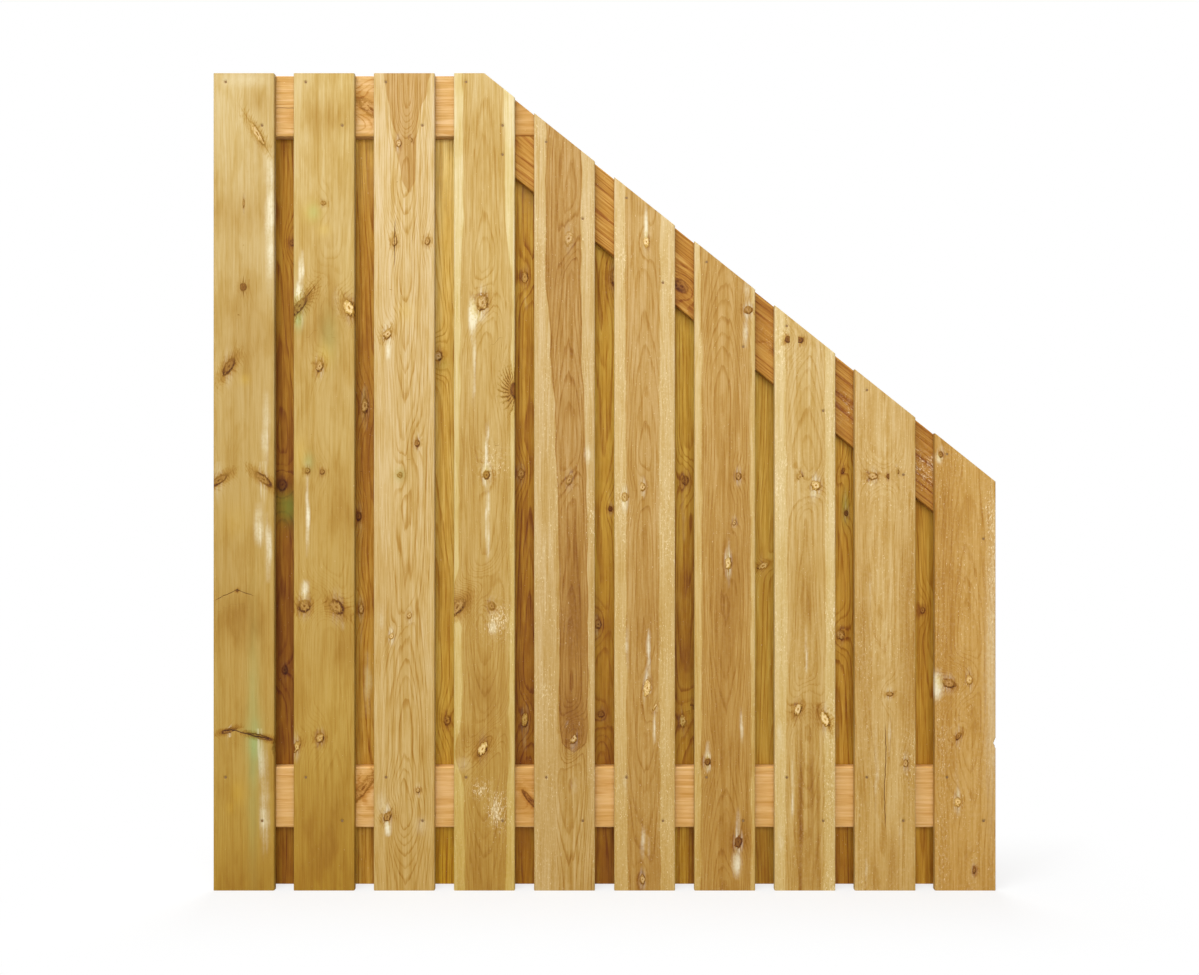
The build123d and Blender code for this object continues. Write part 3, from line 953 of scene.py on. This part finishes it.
def pine(name, sapwood, heartwood, latewood, moss, gum, resin_strength):
    """Planed treated pine that follows the attributes of its mesh."""
    s = Shader(name)
    grain = s.attribute("grain")
    rings, heart, figure = s.parts(s.attribute("rings"))
    mossy, stained, sunny = s.parts(s.attribute("stain"))
    gummy, specks, clouds = s.parts(s.attribute("bloom"))
    split, split_open, own = s.parts(s.attribute("split"))
    depth, outline, _ = s.parts(s.attribute("heartwood"))
    edge, white, tail = s.parts(s.attribute("knot_look"))

    # Fibres, streaks and clouds of the planed face
    fibre = s.noise(grain, FIBRE_SCALE, 4.0, 0.7)
    streaks = s.noise(grain, STREAK_SCALE, 2.0, 0.5)
    cloud = s.noise(grain, CLOUD_SCALE, 3.0, 0.55)
    rough = s.noise(grain, ROUGH_SCALE, 3.0, 0.6)
    reach, p, q, core, drawn = knot_reach(s, grain, rough)
    foreign = s.times(s.math("SUBTRACT", 1.0, own), FAR_AWAY)
    reach = s.plus(reach, foreign)
    beside = s.fall(reach, 1.0, 3.2)

    # Year rings: slow darkening into latewood, then a quick return, clearer beside knots
    wavy = s.times_plus(s.math("SUBTRACT", streaks, 0.5), 0.7, rings)
    year = s.math("FRACT", wavy)
    late = s.times(s.smooth(year, 0.54, 0.90), s.fall(year, 0.91, 1.0))
    season = s.math("SINE", s.times(s.math("FLOOR", wavy), 2.4))
    late = s.times(late, s.times_plus(season, 0.35, 1.05), s.smooth(fibre, 0.25, 0.7, 0.5, 1.3))
    late = s.times(late, s.times_plus(beside, 0.3, figure))
    heart_edge = s.times_plus(s.math("SUBTRACT", streaks, 0.5), 1.2, heart)
    colour = s.mix(s.times(s.smooth(heart_edge, -0.7, 0.7), depth), sapwood, heartwood)
    heart_line = s.times(s.fall(s.math("ABSOLUTE", heart_edge), 0.0, 0.9), outline)
    colour = s.darken(s.plus(late, heart_line), colour, latewood)
    clarity = s.times_plus(figure, 1.6, 0.22, clamp=True)
    colour = s.darken(s.times(s.smooth(fibre, 0.38, 0.72), clarity), colour, FIBRE_SHADE)
    colour = s.darken(s.times(s.smooth(streaks, 0.38, 0.70), clarity), colour, STREAK_SHADE)
    colour = s.darken(s.times(s.smooth(cloud, 0.45, 0.68), clouds), colour, CLOUD_SHADE)

    # Stains and resin
    colour = s.darken(s.times(stained, s.smooth(cloud, 0.3, 0.6, 0.7, 1.2)), colour, STAIN_SHADE)
    colour = s.mix(s.times(sunny, 0.5), colour, SUN_YELLOW)
    # The tint attribute brings the wood's tone together with the painted shade and painted light worked out
    # in tone().
    tint = s.attribute("tint")
    colour = s.mix(1.0, colour, tint, "MULTIPLY")
    colour = s.mix(s.times(mossy, s.smooth(cloud, 0.25, 0.65, 0.35, 0.75)), colour, moss)
    wisps = s.times(gummy, s.smooth(fibre, 0.30, 0.65, 0.65, 1.2), s.smooth(rough, 0.32, 0.56, 0.85, 1.05))
    colour = s.mix(s.smooth(wisps, 0.10, 0.95, 0.0, 0.8), colour, gum)
    flecks = s.noise(grain, FLECK_SCALE, 2.0, 0.75)
    level = s.times_plus(specks, -0.17, 0.73)
    flecks = s.smooth(s.math("SUBTRACT", flecks, level), 0.0, 0.05)
    mist = s.times(s.smooth(rough, 0.46, 0.64, 0.0, 0.16), specks)
    colour = s.mix(s.math("MAXIMUM", s.times(flecks, 0.65), mist), colour, FLECK_COLOUR)

    # The nearest knot: stained wood and resin round it, core rings, bark edge and dark corners
    colour = s.darken(s.times(s.smooth(reach, 1.0, 2.6, 0.5, 0.0), edge), colour, HALO_SHADE)
    resin = s.times(s.fall(s.plus(drawn, foreign), 0.5, 1.5), s.smooth(fibre, 0.40, 0.62))
    resin = s.times(resin, s.smooth(reach, 1.0, 1.35))
    colour = s.mix(s.times(resin, s.times(white, resin_strength)), colour, gum)
    core_rings = s.math("SINE", s.times_plus(reach, 9.0, s.times(rough, 16.0)))
    cream = s.mix(1.0, CORE_CREAM, s.power(tint, 0.4), "MULTIPLY")
    core_colour = s.mix(s.smooth(core, 0.4, 1.0, 0.15, 0.9), colour, cream)
    brown = s.plus(s.smooth(core, -0.2, 0.6, 1.1, 0.0), s.smooth(core_rings, 0.1, 1.0, 0.0, 0.4))
    brown = s.plus(brown, s.smooth(reach, 0.08, 0.30, 0.6, 0.0))
    core_colour = s.darken(brown, core_colour, CORE_SHADE)
    colour = s.mix(s.fall(reach, 0.86, 1.0), colour, core_colour)
    one_side = s.smooth(s.math("SUBTRACT", p, q), -1.2, 1.0, 0.2, 1.1)
    rim = s.times(s.smooth(reach, 0.58, 0.94), s.fall(reach, 0.96, 1.24))
    rim = s.times(rim, s.smooth(rough, 0.40, 0.56, 0.3, 1.1), one_side)
    pointed = s.times_plus(s.math("ABSOLUTE", q), 0.11, s.math("ABSOLUTE", p))
    corner = s.fall(pointed, 0.12, 0.42)
    fanned = s.math("SUBTRACT", tail, 1.0, clamp=True)
    corner = s.times(corner, s.times_plus(fanned, -2.0, tail))
    corner = s.times(corner, s.smooth(reach, 0.9, 1.1))
    curl = s.times_plus(drawn, 4.0, s.times(rough, 7.0))
    rays = s.times_plus(s.math("ARCTAN2", q, p), FAN_RAYS, curl)
    fan = s.times(s.smooth(s.math("SINE", rays), 0.0, 1.0), fanned)
    band = s.times(s.smooth(reach, 1.0, 1.4), s.smooth(reach, 1.2, 3.6, 0.7, 0.0))
    fan = s.times(fan, band)
    corner = s.math("MAXIMUM", corner, fan)
    colour = s.darken(s.math("MAXIMUM", s.times(rim, edge), corner), colour, RIM_SHADE)

    # Cracks, darkened partly as the split wood's colour and partly as painted shade in their hollows
    crack_line = s.fall(s.math("ABSOLUTE", split), 0.55, 1.25)
    colour = s.darken(s.times(crack_line, split_open), colour, CRACK_SHADE)

    s.look("Base Color", colour)
    s.look("Roughness", s.smooth(fibre, 0.2, 0.8, 0.58, 0.78))
    s.look("Specular IOR Level", 0.25)
    s.look("Normal", s.new("Bump", Strength=0.3, Distance=FIBRE_DEPTH, Height=fibre).outputs[0])
    return s.material


def steel(name):
    """Dull zinc-coated nail, darker in patches."""
    s = Shader(name)
    place = s.new("TexCoord").outputs["Object"]
    patches = s.noise(place, NAIL_SCALE, 3.0, 0.6)
    s.look("Base Color", s.mix(patches, srgb(104, 76, 42), srgb(150, 118, 76)))
    s.look("Roughness", s.smooth(patches, 0.3, 0.7, 0.4, 0.65))
    s.look("Metallic", 0.1)
    s.look("Specular IOR Level", 0.2)
    return s.material


blue_moss = srgb(140, 164, 104)
gold_moss = srgb(116, 128, 40)
white_gum = srgb(224, 217, 188)
gold_gum = srgb(206, 182, 122)
front_pine = pine(
    "front_pine", srgb(204, 180, 138), srgb(185, 151, 97), srgb(193, 157, 80), blue_moss, white_gum, 0.7,
)
back_pine = pine(
    "back_pine", srgb(211, 182, 125), srgb(196, 160, 98), srgb(188, 150, 76), gold_moss, gold_gum, 0.5,
)
rail_pine = pine(
    "rail_pine", srgb(214, 178, 123), srgb(206, 161, 99), srgb(198, 158, 88), gold_moss, gold_gum, 0.2,
)
nail_steel = steel("nail_steel")


# Nails

HEAD_SPREAD = 12.0
HEAD_TOLERANCE = 0.05


def nail_places(node):
    """Centres (x, z) in millimetres of the nail heads of one side, read from their solids."""
    points = np.array([vertex.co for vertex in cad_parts[node].data.vertices]) / MM
    depth = np.abs(points[:, 1])
    outer = points[depth > depth.max() - HEAD_TOLERANCE][:, [0, 2]]
    places = []
    for point in outer:
        if all(np.hypot(*(point - place)) > HEAD_SPREAD for place in places):
            places.append(outer[np.hypot(*(outer - point).T) < HEAD_SPREAD].mean(0))
    return places


front_nails = nail_places("front_nails")
back_nails = nail_places("back_nails")
for node in ("front_nails", "back_nails"):
    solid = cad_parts[node].data
    solid.materials.clear()
    solid.materials.append(nail_steel)


# Boards and rails in place

def upright(node, wood, seed, material, nails, behind):
    """Upright board of the front or back row, cut to the panel's top edge."""
    low, high = box_mm(node)
    middle = (low[0] + high[0]) / 2
    blank = Blank(
        (middle, low[1], 0.0), (0.0, 0.0, 1.0), high[0] - low[0], high[1] - low[1],
        square(0.0), lambda u: top_line(middle + u),
    )
    mine = [(x - middle, z) for x, z in nails if low[0] < x < high[0]]
    build_piece(node, blank, wood, seed, material, mine, behind)


for seed, (node, wood) in enumerate(zip(FRONT_NODES, FRONT_WOOD), start=1):
    upright(node, wood, seed, front_pine, front_nails, False)
for seed, (node, wood) in enumerate(zip(BACK_NODES, BACK_WOOD), start=21):
    upright(node, wood, seed, back_pine, back_nails, True)

rail_low, rail_high = box_mm("bottom_rail")
rail_width = rail_high[2] - rail_low[2]
rail_thickness = rail_high[1] - rail_low[1]
level = (1.0, 0.0, 0.0)
bottom = Blank(
    (0.0, rail_low[1], (rail_low[2] + rail_high[2]) / 2), level, rail_width, rail_thickness,
    square(-half_length), square(half_length),
)
top_middle = tall_height - rail_width / 2
top = Blank(
    (0.0, rail_low[1], top_middle), level, rail_width, rail_thickness,
    square(-half_length), lambda u: turn_x + (tall_height - top_middle + u) / slope,
)
steep = math.atan(slope)
falling = np.array([math.cos(steep), 0.0, -math.sin(steep)])
inward = np.array([-math.sin(steep), 0.0, -math.cos(steep)])
corner = np.array([turn_x, rail_low[1], tall_height]) + inward * rail_width / 2
sloping = Blank(
    corner, falling, rail_width, rail_thickness,
    lambda u: (corner[2] + u * inward[2] - joint_height) / math.sin(steep),
    lambda u: (half_length - corner[0] - u * inward[0]) / math.cos(steep),
)
rails = {"bottom_rail": bottom, "top_rail": top, "sloping_rail": sloping}
for seed, (node, blank) in enumerate(rails.items(), start=41):
    build_piece(node, blank, RAIL_WOOD[node], seed, rail_pine)


# Stage, light and camera

CAMERA_PLACE = (-0.0117, -2.732, 0.927)
FOCAL_PIXELS = 1174.0
PHOTO_WIDTH = 1199.0
SENSOR = 36.0
FLOOR_HALF = 30.0
FLOOR_DROP = 0.0005
PANEL_HALF = 0.9
AMBIENT = 0.32

camera_data = bpy.data.cameras.new("camera")
camera_data.sensor_fit = "HORIZONTAL"
camera_data.sensor_width = SENSOR
camera_data.lens = FOCAL_PIXELS / PHOTO_WIDTH * SENSOR
camera = add_object("camera", camera_data)
camera.location = CAMERA_PLACE
camera.rotation_euler = (math.radians(90), 0.0, 0.0)
bpy.context.scene.camera = camera


def white_floor():
    """Pale floor that takes the panel's shadow near it and is white to the camera farther away."""
    s = Shader("floor")
    place = s.new("TexCoord").outputs["Object"]
    cloud = s.noise(place, FLOOR_SCALE, 2.0, 0.5)
    s.look("Base Color", s.mix(cloud, srgb(240, 240, 240), srgb(246, 246, 246)))
    s.look("Roughness", 0.9)
    s.look("Specular IOR Level", 0.0)
    x, y, _ = s.parts(place)
    beyond = s.math("MAXIMUM", s.math("SUBTRACT", s.math("ABSOLUTE", x), PANEL_HALF), s.math("ABSOLUTE", y))
    glow = s.new("Emission").outputs[0]
    seen = s.new("LightPath").outputs["Is Camera Ray"]
    blend = s.new("MixShader")
    share = s.times(seen, s.smooth(beyond, 0.02, 0.45, 0.7, 1.0))
    for socket, value in zip(blend.inputs, (share, s.surface.outputs[0], glow)):
        s.put(socket, value)
    s.put(s.tree.nodes["Material Output"].inputs["Surface"], blend.outputs[0])
    mesh = bpy.data.meshes.new("floor")
    signs = ((-1, -1), (1, -1), (1, 1), (-1, 1))
    mesh.from_pydata([(FLOOR_HALF * x, FLOOR_HALF * y, 0) for x, y in signs], [], [(0, 1, 2, 3)])
    mesh.materials.append(s.material)
    floor = add_object("floor", mesh)
    floor.location.z = -FLOOR_DROP


def area_light(name, place, target, width, height, power):
    """Soft rectangular lamp."""
    data = bpy.data.lights.new(name, "AREA")
    data.shape = "RECTANGLE"
    data.size = width
    data.size_y = height
    data.energy = power
    lamp = add_object(name, data)
    lamp.location = place
    lamp.rotation_euler = (Vector(target) - Vector(place)).to_track_quat("-Z", "Y").to_euler()


def white_world(ambient):
    """White surroundings for the camera, and even light of the given strength for the panel."""
    world = bpy.data.worlds.new("studio")
    bpy.context.scene.world = world
    world.use_nodes = True
    nodes, links = world.node_tree.nodes, world.node_tree.links
    path = nodes.new("ShaderNodeLightPath")
    seen = path.outputs["Is Camera Ray"]
    for ray in ("Is Glossy Ray", "Is Transmission Ray"):
        either = nodes.new("ShaderNodeMath")
        either.operation = "MAXIMUM"
        links.new(seen, either.inputs[0])
        links.new(path.outputs[ray], either.inputs[1])
        seen = either.outputs[0]
    strength = nodes.new("ShaderNodeMapRange")
    strength.inputs["To Min"].default_value = ambient
    strength.inputs["To Max"].default_value = 1.0
    links.new(seen, strength.inputs["Value"])
    background = nodes["Background"]
    background.inputs["Color"].default_value = (1.0, 1.0, 1.0, 1.0)
    links.new(strength.outputs[0], background.inputs["Strength"])


white_floor()
white_world(AMBIENT)
middle = (0.0, 0.0, 0.9)
area_light("key", (-1.8, -2.4, 4.8), middle, 2.6, 2.0, 140.0)
area_light("fill", (0.3, -5.0, 2.4), middle, 4.0, 2.4, 165.0)
area_light("behind", (0.0, 3.6, 3.4), middle, 3.0, 2.0, 110.0)

bpy.context.scene.view_settings.view_transform = "Standard"
